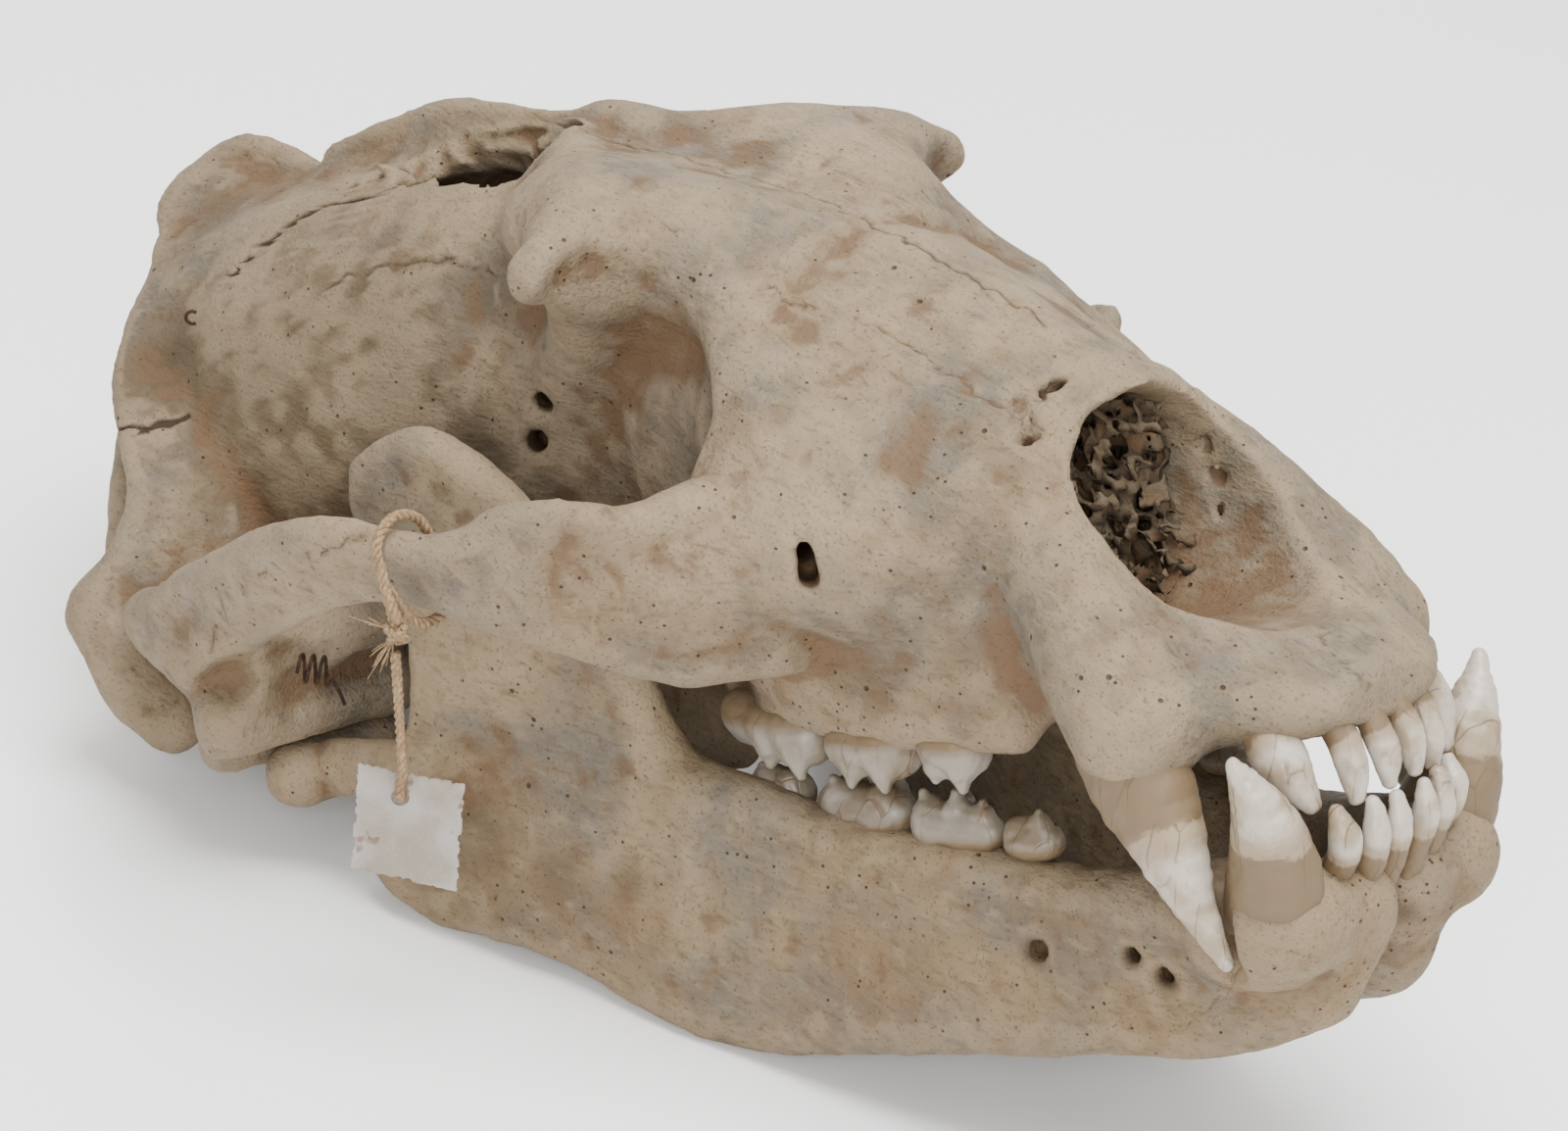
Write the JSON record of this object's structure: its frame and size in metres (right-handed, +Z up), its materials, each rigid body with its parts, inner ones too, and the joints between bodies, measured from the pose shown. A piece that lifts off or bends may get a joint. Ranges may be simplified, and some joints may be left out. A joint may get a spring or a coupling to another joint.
{
  "type": "bear skull",
  "caption": "Adult bear skull standing on its hinged lower jaw, with a broken hole beside the crest, a string round one cheekbone and a small blank paper tag.",
  "frame": {"origin": "on the surface it stands on, under the middle of the skull's box", "axes": "+X towards the snout, +Y towards the animal's left side, +Z up"},
  "size_m": [0.3604, 0.2219, 0.1672],
  "materials": {
    "skull_bone": "dry old bone, matt, cream to tan with grey and rust stains and fine pits",
    "jaw_bone": "dry old bone, matt, tan with darker brown stains at the jaw angle",
    "tooth_enamel": "worn enamel, satin, white to cream with tan necks and fine cracks",
    "paper": "old torn card, matt, grey white",
    "twine": "twisted twine, matt, straw brown",
    "rusty_wire": "thin rusted wire, nearly black"
  },
  "bodies": {
    "lower_jaw": {"mandible_right": "jaw_bone", "mandible_left": "jaw_bone", "lower_left_canine": "tooth_enamel", "lower_left_incisor_1": "tooth_enamel", "lower_left_incisor_2": "tooth_enamel", "lower_left_incisor_3": "tooth_enamel", "lower_left_molar_1": "tooth_enamel", "lower_left_molar_2": "tooth_enamel", "lower_left_molar_3": "tooth_enamel", "lower_left_premolar_4": "tooth_enamel", "lower_right_canine": "tooth_enamel", "lower_right_incisor_1": "tooth_enamel", "lower_right_incisor_2": "tooth_enamel", "lower_right_incisor_3": "tooth_enamel", "lower_right_molar_1": "tooth_enamel", "lower_right_molar_2": "tooth_enamel", "lower_right_molar_3": "tooth_enamel", "lower_right_premolar_4": "tooth_enamel"},
    "upper_skull": {"cranium": "skull_bone", "paper_tag": "paper", "string_loop": "twine", "tag_string": "twine", "upper_left_canine": "tooth_enamel", "upper_left_incisor_1": "tooth_enamel", "upper_left_incisor_2": "tooth_enamel", "upper_left_incisor_3": "tooth_enamel", "upper_left_molar_1": "tooth_enamel", "upper_left_molar_2": "tooth_enamel", "upper_left_premolar_4": "tooth_enamel", "upper_right_canine": "tooth_enamel", "upper_right_incisor_1": "tooth_enamel", "upper_right_incisor_2": "tooth_enamel", "upper_right_incisor_3": "tooth_enamel", "upper_right_molar_1": "tooth_enamel", "upper_right_molar_2": "tooth_enamel", "upper_right_premolar_4": "tooth_enamel", "wire_hook": "rusty_wire", "wire_spring": "rusty_wire"}
  },
  "joints": [
    {"name": "jaw_joint", "type": "hinge", "parent": "lower_jaw", "child": "upper_skull", "pos_m": [-0.0567, 0, 0.0224], "axis": [0, -1, 0], "range_deg": [0, 25]}
  ]
}
